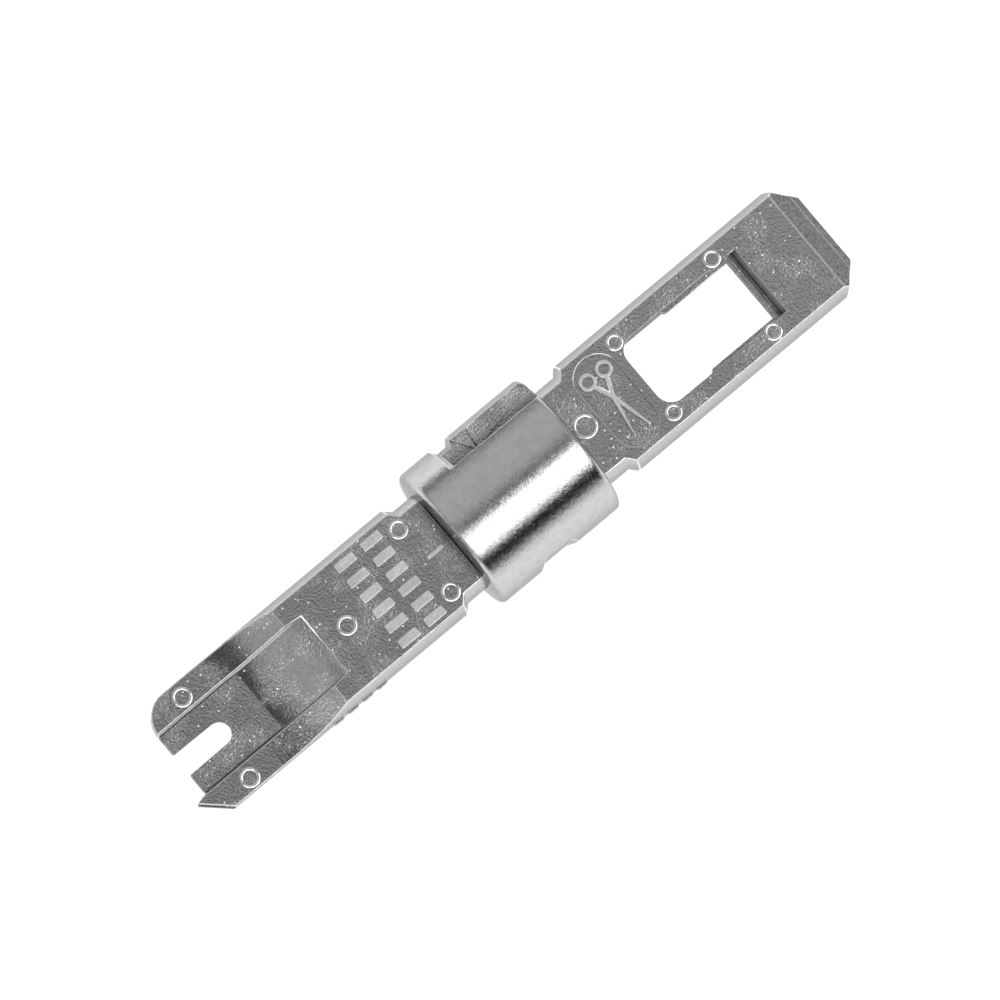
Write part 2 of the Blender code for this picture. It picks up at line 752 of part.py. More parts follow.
def build_rear_cheek_110(parts, cutters, shared):
    plan = cheek_outline_110(REAR_TIP_X)
    cheek = outline_solid("rear_cheek_110", [plan], -FACE_Z, -HALF_SEAM, parts)
    boolean(cheek, shared["envelope"], "INTERSECT")
    boolean(cheek, shared["tang_rear"])
    window = window_outline(REAR_WINDOW_END_X)
    boolean(cheek, outline_solid("cut_rear_window", [window], -FACE_Z - OVERCUT, OVERCUT, cutters))
    pocket = shoe_outline(FIT, HALF_LENGTH + OVERCUT)
    boolean(cheek, outline_solid("cut_shoe_pocket", [pocket], SHOE_Z[0] - FIT, OVERCUT, cutters))
    bevel = [
        (REAR_TIP_X - REAR_BEVEL, -FACE_Z),
        (REAR_TIP_X + REAR_BEVEL, -FACE_Z + 2 * REAR_BEVEL),
        (REAR_TIP_X + REAR_BEVEL, -FACE_Z - OVERCUT),
        (REAR_TIP_X - REAR_BEVEL - OVERCUT, -FACE_Z - OVERCUT),
    ]
    boolean(
        cheek,
        outline_solid(
            "cut_rear_bevel", [bevel], -BLADE_RADIUS - OVERCUT, BLADE_RADIUS + OVERCUT, cutters, "Y"
        ),
    )
    boolean(cheek, shared["spine"])
    boolean(cheek, shared["pin_110"])
    boolean(cheek, shared["holes_110"])
    return cheek


def build_cutter_110(parts, cutters, shared):
    cutter = outline_solid("cutter_110", [cutter_110_outline()], *CUTTER_110_Z, parts)
    boolean(cutter, shared["bevel"])
    groove = box(
        "cut_relief_groove",
        (RELIEF_GROOVE_X[0], -WINDOW_HALF_WIDTH, CUTTER_110_Z[1] - RELIEF_GROOVE_DEPTH),
        (RELIEF_GROOVE_X[1], WINDOW_HALF_WIDTH, FACE_Z),
        cutters,
    )
    boolean(cutter, groove)
    boolean(cutter, shared["holes_110"])
    return cutter


def build_punch_shoe(parts, cutters):
    shoe = outline_solid("punch_shoe_110", [shoe_outline()], *SHOE_Z, parts)
    clip = box(
        "cut_clip_slot",
        (CLIP_SLOT_X, -CLIP_SLOT_HALF_WIDTH, -FACE_Z - OVERCUT),
        (HALF_LENGTH + OVERCUT, CLIP_SLOT_HALF_WIDTH, OVERCUT),
        cutters,
    )
    boolean(shoe, clip)
    return shoe


def build_spine(parts, shared):
    spine = outline_solid(
        "spine_tang", [spine_outline()], -SPINE_HALF_THICKNESS, SPINE_HALF_THICKNESS, parts
    )
    boolean(spine, shared["holes_66"])
    boolean(spine, shared["holes_110"])
    boolean(spine, shared["pin_66"])
    boolean(spine, shared["pin_110"])
    return spine


def collar_profile():
    """The collar's outer side, in order of falling x, with a shallow relief in each end face."""
    flat = COLLAR_FACE_RADIUS
    relief = COLLAR_RELIEF_RADIUS
    depth = COLLAR_RELIEF_DEPTH
    edge_x = COLLAR_EDGE_INSET - COLLAR_FACE_LEAN
    edge_radius = COLLAR_RADIUS - COLLAR_EDGE_DROP
    high_x = COLLAR_X[1] - COLLAR_EDGE_INSET
    low_x = COLLAR_X[0] + COLLAR_EDGE_INSET
    profile = [(COLLAR_X[1] - depth, 0.0), (COLLAR_X[1] - depth, relief)]
    profile += [(COLLAR_X[1], relief), (COLLAR_X[1], flat)]
    profile += arc(high_x, edge_radius, edge_x, COLLAR_EDGE_DROP, 0, 90, COLLAR_EDGE_STEPS)
    profile += arc(low_x, edge_radius, edge_x, COLLAR_EDGE_DROP, 90, 180, COLLAR_EDGE_STEPS)
    profile += [(COLLAR_X[0], flat), (COLLAR_X[0], relief)]
    profile += [(COLLAR_X[0] + depth, relief), (COLLAR_X[0] + depth, 0.0)]
    return profile


def collar_bore(cutters):
    """The bore: the tang's own section with a fitting clearance."""
    bar = turned_bar(
        "cut_collar_bore",
        [
            (COLLAR_X[1] + OVERCUT, 0.0),
            (COLLAR_X[1] + OVERCUT, TANG_RADIUS + FIT),
            (COLLAR_X[0] - OVERCUT, TANG_RADIUS + FIT),
            (COLLAR_X[0] - OVERCUT, 0.0),
        ],
        cutters,
    )
    reach = COLLAR_RADIUS + OVERCUT
    slab = box(
        "cut_bore_slab",
        (COLLAR_X[0] - 2 * OVERCUT, -reach, -TANG_HALF_THICKNESS - FIT),
        (COLLAR_X[1] + 2 * OVERCUT, reach, TANG_HALF_THICKNESS + FIT),
        cutters,
    )
    boolean(bar, slab, "INTERSECT")
    return bar


def lead_slant(shift=0.0, inset=0.0):
    """Plan of the slanted wall at the inner end of the entry flat, from outside the collar inwards."""
    inner_x = ENTRY_LEAD_X - ENTRY_SLANT + shift
    return [
        (inner_x, COLLAR_RADIUS + OVERCUT),
        (inner_x, COLLAR_RADIUS - LOCK_GROOVE_DEPTH),
        (ENTRY_LEAD_X + shift, ENTRY_FLAT_Y + inset),
    ]


def entry_flat(side, cutters):
    """The flat a bayonet lug enters by, with a slanted inner end.

    The front one (1) opens at the 110 end. The rear one (-1) is turned end for end, for the blade
    put in the other way round.
    """
    far_x = COLLAR_X[1] + OVERCUT
    high = COLLAR_RADIUS + OVERCUT
    outline = [(far_x, ENTRY_FLAT_Y), (far_x, high)] + lead_slant()
    if side > 0:
        return outline_solid("cut_entry_flat_front", [outline], ENTRY_FLAT_Z, high, cutters)
    turned = [(COLLAR_X[0] + COLLAR_X[1] - x, -y) for x, y in outline]
    return outline_solid("cut_entry_flat_rear", [turned], -high, -ENTRY_FLAT_Z, cutters)


def entry_lead(cutters):
    """The slightly deeper lead beside the slanted end of the front flat."""
    high = COLLAR_RADIUS + OVERCUT
    near_y = ENTRY_FLAT_Y + LEAD_INSET
    outline = [(ENTRY_FLAT_X, near_y), (ENTRY_FLAT_X, high)] + lead_slant(-LEAD_INSET, LEAD_INSET)
    low = ENTRY_FLAT_Z - ENTRY_LEAD_DEPTH
    return outline_solid("cut_entry_lead", [outline], low, high, cutters)


def groove_mouth(cutters):
    """Where the lock groove widens beside the flat, from its own far side to the slanted wall."""
    high = COLLAR_RADIUS + OVERCUT
    low_x = LOCK_GROOVE_X[0] + MOUTH_INSET
    near_y = ENTRY_FLAT_Y + MOUTH_INSET
    outline = [(low_x, near_y), (low_x, high)] + lead_slant(MOUTH_INSET, MOUTH_INSET)
    return outline_solid("cut_groove_mouth", [outline], GROOVE_MOUTH_Z, high, cutters)


def lock_groove(cutters):
    """The shallow turned groove that the bayonet locks into, on the guard side only."""
    outer = COLLAR_RADIUS + OVERCUT
    floor = COLLAR_RADIUS - LOCK_GROOVE_DEPTH
    spread = LOCK_GROOVE_SLOPE * (outer - floor) / LOCK_GROOVE_DEPTH
    profile = [
        (LOCK_GROOVE_X[1] + spread, outer),
        (LOCK_GROOVE_X[0] - spread, outer),
        (LOCK_GROOVE_X[0], floor),
        (LOCK_GROOVE_X[1], floor),
    ]
    ring = turned_bar("cut_lock_groove", profile, cutters, closed=True)
    reach = outer + OVERCUT
    half = box(
        "cut_groove_half",
        (COLLAR_X[0], ENTRY_FLAT_Y, LOCK_GROOVE_LOW_Z),
        (COLLAR_X[1], reach, reach),
        cutters,
    )
    boolean(ring, half, "INTERSECT")
    return ring


def side_notch(cutters):
    """A shallow notch with slanted ends in the cutter side, which the rear flat leads to."""
    floor_y = COLLAR_RADIUS - SIDE_NOTCH_DEPTH
    outer_y = COLLAR_RADIUS + OVERCUT
    lead = SIDE_NOTCH_SLOPE * (outer_y - floor_y) / SIDE_NOTCH_DEPTH
    outline = [
        (SIDE_NOTCH_X[0] + SIDE_NOTCH_SLOPE, -floor_y),
        (SIDE_NOTCH_X[1] - SIDE_NOTCH_SLOPE, -floor_y),
        (SIDE_NOTCH_X[1] - SIDE_NOTCH_SLOPE + lead, -outer_y),
        (SIDE_NOTCH_X[0] + SIDE_NOTCH_SLOPE - lead, -outer_y),
    ]
    return outline_solid("cut_side_notch", [outline], *SIDE_NOTCH_Z, cutters)


def build_collar(parts, cutters, shared):
    collar = turned_bar("bayonet_collar", collar_profile(), parts)
    boolean(collar, collar_bore(cutters))
    boolean(collar, entry_flat(1, cutters))
    boolean(collar, entry_flat(-1, cutters))
    boolean(collar, lock_groove(cutters))
    boolean(collar, groove_mouth(cutters))
    boolean(collar, entry_lead(cutters))
    boolean(collar, side_notch(cutters))
    boolean(collar, shared["pin_66"])
    boolean(collar, shared["pin_110"])
    return collar


def build_dowels(parts, dowels, low_z, high_z):
    low = low_z + DOWEL_END_DROP
    high = high_z - DOWEL_END_DROP
    return [posts(name, [(x, y, radius)], low, high, parts) for name, x, y, radius in dowels]


def build_collar_pins(parts):
    pins = []
    for name, x in (("collar_pin_66", COLLAR_PIN_66_X), ("collar_pin_110", COLLAR_PIN_110_X)):
        pins.append(posts(name, [(x, 0.0, COLLAR_PIN_RADIUS)], *COLLAR_PIN_Z, parts))
    return pins


def shared_cutters(cutters):
    """Cutters that more than one part uses."""
    deep = FACE_Z + OVERCUT
    dowels_66 = places(DOWELS_66_TIP + DOWELS_66)
    spine = outline_solid(
        "cut_spine_pocket",
        [spine_outline(FIT)],
        -SPINE_HALF_THICKNESS - FIT,
        SPINE_HALF_THICKNESS + FIT,
        cutters,
    )
    pin_low = -COLLAR_RADIUS - OVERCUT
    pin_high = COLLAR_PIN_Z[1] + FIT
    pin_66 = [(COLLAR_PIN_66_X, 0.0, COLLAR_PIN_RADIUS)]
    pin_110 = [(COLLAR_PIN_110_X, 0.0, COLLAR_PIN_RADIUS)]
    return {
        "envelope": blade_envelope(cutters),
        "tang_front": tang_face_cutter(1, cutters),
        "tang_rear": tang_face_cutter(-1, cutters),
        "spine": spine,
        "bevel": tip_bevel_cutter(cutters),
        "holes_66": posts("cut_holes_66", dowels_66, -deep, deep, cutters, FIT),
        "holes_110": posts("cut_holes_110", places(DOWELS_110), -deep, deep, cutters, FIT),
        "pin_66": posts("cut_pin_66", pin_66, pin_low, pin_high, cutters, FIT),
        "pin_110": posts("cut_pin_110", pin_110, pin_low, pin_high, cutters, FIT),
    }


def settle(obj, material):
    """Applies the modifiers, shades the round faces smooth and gives the part its material."""
    evaluated = obj.evaluated_get(bpy.context.evaluated_depsgraph_get())
    mesh = bpy.data.meshes.new_from_object(evaluated)
    obj.modifiers.clear()
    mesh.transform(obj.matrix_world)
    obj.matrix_world = Matrix.Identity(4)
    obj.data = mesh
    mesh.name = obj.name
    mesh.materials.clear()
    mesh.materials.append(material)
    mesh.shade_smooth()
    mesh.set_sharp_from_angle(angle=SHARP_ANGLE)


def main():
    clear_scene()
    parts = make_collection(OBJECT_NAME)
    cutters = make_collection("cutters")
    materials = {name: make_material(name) for name in FINISHES}
    shared = shared_cutters(cutters)

    cast = [
        build_front_cheek_66(parts, cutters, shared),
        build_rear_cheek_66(parts, cutters, shared),
        build_front_cheek_110(parts, cutters, shared),
        build_rear_cheek_110(parts, cutters, shared),
    ]
    hardened = [
        build_fork_strip(parts, cutters, shared),
        build_cutter_66(parts, shared),
        build_cutter_110(parts, cutters, shared),
        build_punch_shoe(parts, cutters),
    ]
    collar = build_collar(parts, cutters, shared)
    spine = build_spine(parts, shared)
    pins = build_dowels(parts, DOWELS_66_TIP, RAIL_REAR_Z, RAIL_Z)
    pins += build_dowels(parts, DOWELS_66, -FACE_Z, FACE_Z)
    pins += build_dowels(parts, DOWELS_110, -FACE_Z, FACE_Z)
    pins += build_collar_pins(parts)

    for cutter in cutters.objects:
        cutter.hide_render = True
        cutter.display_type = "WIRE"
    bpy.context.view_layer.update()

    groups = (
        (cast, "cast_nickel"),
        (hardened, "hardened_steel"),
        ([collar], "turned_nickel"),
        ([spine], "spine_steel"),
        (pins, "dowel_steel"),
    )
    for objects, finish in groups:
        for obj in objects:
            settle(obj, materials[finish])


main()
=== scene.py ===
"""Looks of the reversible 66 / 110 twist-lock punch down blade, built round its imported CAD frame.

Each visible CAD node gets a finished skin: the same solid with its flat areas merged, its edges
rounded over, true round normals and a procedural metal for each kind of surface on it.
"""

import json
import math

import bmesh
import bpy
from mathutils import Matrix, Vector

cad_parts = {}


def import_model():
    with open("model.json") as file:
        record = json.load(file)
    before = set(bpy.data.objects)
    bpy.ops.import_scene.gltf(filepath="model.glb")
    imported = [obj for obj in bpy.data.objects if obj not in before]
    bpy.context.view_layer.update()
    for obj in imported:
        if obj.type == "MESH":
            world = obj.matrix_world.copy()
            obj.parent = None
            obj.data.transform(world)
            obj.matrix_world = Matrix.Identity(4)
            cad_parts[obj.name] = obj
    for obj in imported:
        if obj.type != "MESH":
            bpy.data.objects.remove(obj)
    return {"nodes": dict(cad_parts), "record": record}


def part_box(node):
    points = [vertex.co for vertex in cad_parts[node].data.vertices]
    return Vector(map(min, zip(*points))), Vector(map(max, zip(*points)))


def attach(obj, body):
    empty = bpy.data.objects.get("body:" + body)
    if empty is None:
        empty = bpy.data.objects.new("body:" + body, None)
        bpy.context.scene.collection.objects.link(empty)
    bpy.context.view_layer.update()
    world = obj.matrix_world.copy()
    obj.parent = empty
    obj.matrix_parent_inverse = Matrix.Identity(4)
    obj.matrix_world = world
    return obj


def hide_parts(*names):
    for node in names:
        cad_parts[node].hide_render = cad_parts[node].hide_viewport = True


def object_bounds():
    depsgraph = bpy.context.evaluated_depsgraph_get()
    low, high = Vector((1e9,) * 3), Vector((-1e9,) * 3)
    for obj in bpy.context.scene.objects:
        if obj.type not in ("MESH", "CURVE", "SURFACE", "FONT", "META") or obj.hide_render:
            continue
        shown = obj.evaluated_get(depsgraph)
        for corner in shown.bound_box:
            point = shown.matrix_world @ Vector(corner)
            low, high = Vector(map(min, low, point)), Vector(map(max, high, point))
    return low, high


# Lengths are in millimetres unless a name says otherwise. MM turns them into metres.
MM = 0.001

# Skins: how flat areas merge, where an edge counts as sharp, and how round surfaces are found.
WELD = 0.0005
FLAT_MERGE = math.radians(0.2)
SHARP_ANGLE = math.radians(22.0)
ROUND_TOLERANCE = 0.008
ROUND_AXIS_TOLERANCE = 0.02
FLAT_NORMAL = 0.9999
NECK_STEP = 0.6
BEVEL_SEGMENTS = 2
BEVEL_SHARE = 0.4
WINDOW_BEVEL_SHARE = 0.4
SEAM_Z = 0.1

# How far the edges of each kind of piece are rounded.
CHEEK_EDGE = 0.08
INSERT_EDGE = 0.03
COLLAR_EDGE = 0.045
PIN_EDGE = 0.04

# Which finish a face gets: how it leans, and where it lies.
UPRIGHT_NORMAL = 0.5
FACE_NORMAL_Z = 0.97
CHISEL_LEAN = 0.2
FACE_MARGIN = 0.1
TURNED_DEPTH = 0.12
WINDOW_MARGIN = 1.2
SIGN_X = (9.7, 13.2)
SIGN_REACH_Y = 3.8

# Dowel ends: a low ridge near the rim, drawn as distance from the rim and height above the face.
DOWEL_STEPS = 48
DOWEL_CLEARANCE = 0.045
DOWEL_DROP = 0.03
DOWEL_SHARP_ANGLE = math.radians(15.0)
DOWEL_FLANK_Z = (0.2, 0.99)
DOWEL_RIDGE = ((0.25, 0.0), (0.16, 0.032), (0.11, 0.032), (0.02, 0.0), (0.0, -0.03))

# Camera: the axis of the blade climbs to the upper right, seen from above its 66 end.
LENS = 600.0
SENSOR = 36.0
AXIS_CLIMB = math.radians(39.86)
FRAME_WIDTH = 75.24
TOWARDS_CAMERA = Vector((-0.12, -0.05, 1.0)).normalized()
AIM_RIGHT = 0.105
AIM_UP = 0.06

NEAR_CLIP = 0.05
FAR_CLIP = 50.0

FLOOR_SIZE_M = 14.0
FLOOR_GAP = 0.02
FLOOR_GLOW = 0.97

# How bright the metal stays where it is seen at a grazing angle.
GRAZING_TINT = 0.55

# Sandy finishes: darkest and lightest tone, roughness, relief, and the tone of bright grains.
SANDY_FINISHES = {
    "cast_nickel_sandy": (0.54, 0.60, 0.17, 1.0, 0.85),
    "rubbed_nickel_pad": (0.60, 0.74, 0.42, 1.2, 0.0),
    # The wall finish is darker than the faces: painted shade on the walls round the window and on the
    # inserts' sides.
    "painted_shade_nickel_wall": (0.22, 0.34, 0.40, 1.4, 0.0),
    "blasted_nickel_pocket": (0.42, 0.52, 0.24, 2.6, 0.85),
}

# Studio round the blade's axis: angle from straight up towards +Y, in degrees, and brightness.
# Past ENDS_REACH along X it is one dim tone, and the front of the lens is a dark round flag.
STUDIO = (
    (-180.0, 0.95),
    (-96.0, 0.95),
    (-90.0, 0.90),
    (-80.0, 0.85),
    (-78.0, 0.03),
    (-49.0, 0.03),
    (-46.5, 2.20),
    (-10.0, 2.20),
    (-8.0, 0.12),
    (0.0, 0.12),
    (1.5, 0.55),
    (60.0, 0.60),
    (76.0, 0.50),
    (80.0, 0.08),
    (90.0, 0.08),
    (96.0, 0.95),
    (180.0, 0.95),
)
ENDS_REACH = (0.76, 0.86)
ENDS_LEVEL = 0.25
LENS_FLAG = Vector((-0.13, 0.0, 1.0)).normalized()
LENS_FLAG_ANGLES = (9.5, 16.0)
LENS_FLAG_LEVEL = 0.12


# ---------------------------------------------------------------- node helpers


def new_material(name):
    material = bpy.data.materials.new(name)
    material.use_nodes = True
    return material, material.node_tree, material.node_tree.nodes["Principled BSDF"]


def add_node(tree, kind, inputs=None, **settings):
    """Adds a node, sets its properties, and sets or links the named inputs."""
    node = tree.nodes.new(kind)
    for key, value in settings.items():
        setattr(node, key, value)
    for key, value in (inputs or {}).items():
        if isinstance(value, bpy.types.NodeSocket):
            tree.links.new(value, node.inputs[key])
        else:
            node.inputs[key].default_value = value
    return node


def millimetres(tree, stretch=(1.0, 1.0, 1.0)):
    """Object coordinates in millimetres, stretched for grain that runs along one axis."""
    place = add_node(tree, "ShaderNodeTexCoord")
    scale = Vector(stretch) / MM
    mapping = add_node(tree, "ShaderNodeMapping", {"Vector": place.outputs["Object"], "Scale": scale})
    return mapping.outputs["Vector"]


def noise(tree, vector, scale, detail=2.0, roughness=0.5, distortion=0.0):
    settings = {
        "Vector": vector,
        "Scale": scale,
        "Detail": detail,
        "Roughness": roughness,
        "Distortion": distortion,
    }
    return add_node(tree, "ShaderNodeTexNoise", settings).outputs["Fac"]


def map_range(tree, value, from_low, from_high, to_low, to_high):
    settings = {
        "Value": value,
        "From Min": from_low,
        "From Max": from_high,
        "To Min": to_low,
        "To Max": to_high,
    }
    return add_node(tree, "ShaderNodeMapRange", settings, clamp=True).outputs["Result"]


def math_node(tree, operation, first, second):
    return add_node(tree, "ShaderNodeMath", {0: first, 1: second}, operation=operation).outputs[0]


def mix_colours(tree, factor, first, second):
    node = add_node(tree, "ShaderNodeMix", data_type="RGBA")
    for key, value in ((0, factor), (6, first), (7, second)):
        if isinstance(value, bpy.types.NodeSocket):
            tree.links.new(value, node.inputs[key])
        else:
            node.inputs[key].default_value = value
    return node.outputs[2]


def blend(tree, value, low, high, dark, light):
    """Goes from a dark to a light colour as the value goes from low to high."""
    return mix_colours(tree, map_range(tree, value, low, high, 0.0, 1.0), dark, light)


def bump(tree, height, distance, normal=None):
    inputs = {"Height": height, "Distance": distance * MM, "Strength": 1.0}
    if normal is not None:
        inputs["Normal"] = normal
    return add_node(tree, "ShaderNodeBump", inputs).outputs["Normal"]


def grey(value, warmth=0.0):
    return (value * (1.0 + warmth), value, value * (1.0 - warmth), 1.0)


def finish_metal(tree, shader, base, roughness, normal):
    tree.links.new(base, shader.inputs["Base Color"])
    tree.links.new(roughness, shader.inputs["Roughness"])
    tree.links.new(normal, shader.inputs["Normal"])
    shader.inputs["Metallic"].default_value = 1.0


# ---------------------------------------------------------------- materials


def sandy_metal(name):
    """Nickel plate over fine sand: grain that comes and goes in clouds, and a few bright grains."""
    dark, light, roughness, relief, speck_tone = SANDY_FINISHES[name]
    material, tree, shader = new_material(name)
    place = millimetres(tree)
    grain = noise(tree, place, 4.6, 2.0, 0.6)
    grit = noise(tree, place, 9.0, 1.0, 0.6)
    cloud = noise(tree, place, 0.42, 2.0, 0.5)
    cells = add_node(
        tree, "ShaderNodeTexVoronoi", {"Vector": place, "Scale": 1.5, "Randomness": 1.0}
    ).outputs["Distance"]
    specks = map_range(tree, cells, 0.06, 0.12, 1.0, 0.0)

    base = blend(tree, grain, 0.32, 0.68, grey(dark, 0.01), grey(light))
    if speck_tone:
        base = mix_colours(tree, specks, base, grey(speck_tone))
    sheen = map_range(tree, cloud, 0.3, 0.7, roughness * 0.85, roughness * 1.15)

    strength = map_range(tree, cloud, 0.40, 0.60, 0.35, 1.0)
    height = math_node(tree, "MULTIPLY", math_node(tree, "SUBTRACT", grain, 0.5), strength)
    fine = math_node(tree, "MULTIPLY", math_node(tree, "SUBTRACT", grit, 0.5), strength)
    normal = bump(tree, height, 0.030 * relief)
    normal = bump(tree, fine, 0.012 * relief, normal)
    normal = bump(tree, specks, 0.012 * relief, normal)
    finish_metal(tree, shader, base, sheen, normal)
    shader.inputs["Specular Tint"].default_value = grey(GRAZING_TINT)
    return material


def wear_and_highlight_edge_material():
    """Lighter, glossier rounded edges with small nicks: partly rubbed wear, partly painted highlight.
    """
    material, tree, shader = new_material("rubbed_nickel_edge_with_painted_highlight")
    nicks = noise(tree, millimetres(tree), 3.5, 3.0, 0.6)
    base = blend(tree, nicks, 0.35, 0.6, grey(0.62, 0.01), grey(0.82))
    sheen = map_range(tree, nicks, 0.3, 0.7, 0.30, 0.16)
    finish_metal(tree, shader, base, sheen, bump(tree, nicks, 0.015))
    return material


def turned_material():
    """Bright turned nickel: fine streaks that run round the axis, over a slight orange peel."""
    material, tree, shader = new_material("turned_nickel_bright")
    rings = noise(tree, millimetres(tree, (1.0, 0.02, 0.02)), 9.0, 3.0, 0.6)
    peel = noise(tree, millimetres(tree), 1.6, 2.0, 0.5)
    streak = noise(tree, millimetres(tree, (5.0, 1.0, 1.0)), 1.9, 4.0, 0.7)
    base = blend(tree, peel, 0.3, 0.7, grey(0.55, 0.01), grey(0.61, 0.004))
    sheen = map_range(tree, rings, 0.3, 0.7, 0.05, 0.10)
    normal = bump(tree, streak, 0.036, bump(tree, peel, 0.004))
    finish_metal(tree, shader, base, sheen, normal)
    shader.inputs["Specular Tint"].default_value = grey(GRAZING_TINT)
    return material


def chisel_material():
    """The ground chisel of the 110 tip: a coarse grain that runs down to the cutting edge."""
    material, tree, shader = new_material("ground_nickel_chisel")
    grain = noise(tree, millimetres(tree, (0.35, 1.0, 0.35)), 7.0, 4.0, 0.7)
    grit = noise(tree, millimetres(tree), 5.0, 2.0, 0.6, 0.6)
    base = blend(tree, grit, 0.3, 0.7, grey(0.10, 0.01), grey(0.30, 0.006))
    sheen = map_range(tree, grain, 0.3, 0.7, 0.28, 0.42)
    normal = bump(tree, grit, 0.05, bump(tree, grain, 0.06))
    finish_metal(tree, shader, base, sheen, normal)
    return material


def hardened_material():
    """Ground tool steel for the hidden spine and pins, with grinding lines across the blade."""
    material, tree, shader = new_material("hardened_steel_ground")
    lines = noise(tree, millimetres(tree, (1.0, 0.08, 0.5)), 12.0, 3.0, 0.65)
    cloud = noise(tree, millimetres(tree), 1.2, 3.0, 0.55)
    base = blend(tree, cloud, 0.3, 0.7, grey(0.42, 0.004), grey(0.54, 0.002))
    sheen = map_range(tree, lines, 0.3, 0.7, 0.22, 0.36)
    normal = bump(tree, cloud, 0.01, bump(tree, lines, 0.008))
    finish_metal(tree, shader, base, sheen, normal)
    return material


def floor_material():
    """A plain white table, lit from within like a light table."""
    material, tree, shader = new_material("white_table")
    fleck = noise(tree, millimetres(tree), 0.02, 2.0, 0.5)
    base = mix_colours(tree, fleck, grey(0.18), grey(0.22))
    tree.links.new(base, shader.inputs["Base Color"])
    shader.inputs["Roughness"].default_value = 0.9
    shader.inputs["Specular IOR Level"].default_value = 0.0
    shader.inputs["Emission Color"].default_value = (1.0, 1.0, 1.0, 1.0)
    shader.inputs["Emission Strength"].default_value = FLOOR_GLOW
    return material


# ---------------------------------------------------------------- skins


def merged_copy(node):
    """A bmesh of a CAD node in millimetres, with split corners welded and flat areas merged."""
    bm = bmesh.new()
    bm.from_mesh(node.data)
    bmesh.ops.transform(bm, matrix=Matrix.Scale(1.0 / MM, 4), verts=bm.verts)
    bmesh.ops.remove_doubles(bm, verts=bm.verts, dist=WELD)
    bmesh.ops.dissolve_limit(
        bm, angle_limit=FLAT_MERGE, verts=bm.verts, edges=bm.edges, use_dissolve_boundaries=False
    )
    bmesh.ops.recalc_face_normals(bm, faces=bm.faces)
    return bm


def sort_faces(bm, chooser):
    """Gives each face the material slot that the chooser picks from its normal and centre."""
    for face in bm.faces:
        face.material_index = chooser(face.normal, face.calc_center_median())
        face.smooth = True


def finished_mesh(name, bm, materials, sharp_angle):
    """Turns a bmesh in millimetres into a mesh in metres, with its sharp edges and materials."""
    bmesh.ops.transform(bm, matrix=Matrix.Scale(MM, 4), verts=bm.verts)
    mesh = bpy.data.meshes.new(name + "_skin")
    bm.to_mesh(mesh)
    bm.free()
    mesh.set_sharp_from_angle(angle=sharp_angle)
    for material in materials:
        mesh.materials.append(material)
    return mesh


def bake_modifiers(obj):
    """Replaces an object's mesh by the result of its modifiers."""
    bpy.context.view_layer.update()
    evaluated = obj.evaluated_get(bpy.context.evaluated_depsgraph_get())
    mesh = bpy.data.meshes.new_from_object(evaluated)
    obj.modifiers.clear()
    old = obj.data
    obj.data = mesh
    bpy.data.meshes.remove(old)
    mesh.name = obj.name
    return mesh


def set_exact_normals(mesh, radii):
    """Squares the normals of level faces, and points those of round faces away from the X axis."""
    normals = [loop.normal.copy() for loop in mesh.loops]
    for polygon in mesh.polygons:
        if max(abs(polygon.normal.x), abs(polygon.normal.z)) > FLAT_NORMAL:
            for loop_index in polygon.loop_indices:
                normals[loop_index] = polygon.normal
        if abs(polygon.normal.x) > ROUND_AXIS_TOLERANCE:
            continue
        reach = [Vector((0.0, *mesh.vertices[i].co.yz)) for i in polygon.vertices]
        for radius in radii:
            if all(abs(point.length / MM - radius) < ROUND_TOLERANCE for point in reach):
                sign = 1.0 if polygon.normal.dot(reach[0]) > 0 else -1.0
                for loop_index, point in zip(polygon.loop_indices, reach):
                    normals[loop_index] = sign * point.normalized()
    mesh.normals_split_custom_set(normals)


def stays_sharp(edge, holes):
    """True for flat and inner edges, edges on the seam between cheeks and the rims of dowel holes."""
    if len(edge.link_faces) != 2 or edge.calc_face_angle_signed() < SHARP_ANGLE:
        return True
    if all(abs(vert.co.z) < SEAM_Z for vert in edge.verts):
        return True
    middle = (edge.verts[0].co + edge.verts[1].co) / 2
    return any(math.hypot(middle.x - x, middle.y - y) < radius for x, y, radius in holes)


def inside(point, region):
    """True where the point's plan lies in the region, a pair of corners."""
    low, high = region
    return low.x < point.x < high.x and low.y < point.y < high.y


def weigh_edges(bm, width, holes, window):
    """Marks how far each outer edge may be rounded, so that no narrow face is rounded away."""
    layer = bm.edges.layers.float.new("bevel_weight_edge")
    for edge in bm.edges:
        if stays_sharp(edge, holes):
            continue
        start = edge.verts[0].co
        along = (edge.verts[1].co - start).normalized()
        reach = []
        for face in edge.link_faces:
            offsets = [vert.co - start for vert in face.verts]
            reach.append(max((offset - along * offset.dot(along)).length for offset in offsets))
        most = WINDOW_BEVEL_SHARE if window and inside(start, window) else 1.0
        edge[layer] = min(most, min(reach) * BEVEL_SHARE / width)


def place_piece(name, mesh):
    """Links a mesh as the visible piece of a CAD node."""
    obj = bpy.data.objects.new(name + "_skin", mesh)
    bpy.context.scene.collection.objects.link(obj)
    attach(obj, "root")
    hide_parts(name)
    return obj


def skin(name, nodes, materials, chooser, edge_width, radii=(), holes=(), window=None):
    """The finished surface of a CAD node: merged, sorted by finish, and with its edges rounded.

    The last of the materials is the one for the rounded edges.
    """
    bm = merged_copy(nodes[name])
    sort_faces(bm, chooser)
    weigh_edges(bm, edge_width, holes, window)
    obj = place_piece(name, finished_mesh(name, bm, materials, SHARP_ANGLE))
    edge = obj.modifiers.new("rounded_edges", "BEVEL")
    edge.width = edge_width * MM
    edge.segments = BEVEL_SEGMENTS
    edge.limit_method = "WEIGHT"
    edge.harden_normals = True
    edge.use_clamp_overlap = False
    # Rounded edges take the last material: lighter rubbed wear plus a painted highlight.
    edge.material = len(materials) - 1
    edge.miter_outer = "MITER_SHARP"
    set_exact_normals(bake_modifiers(obj), radii)


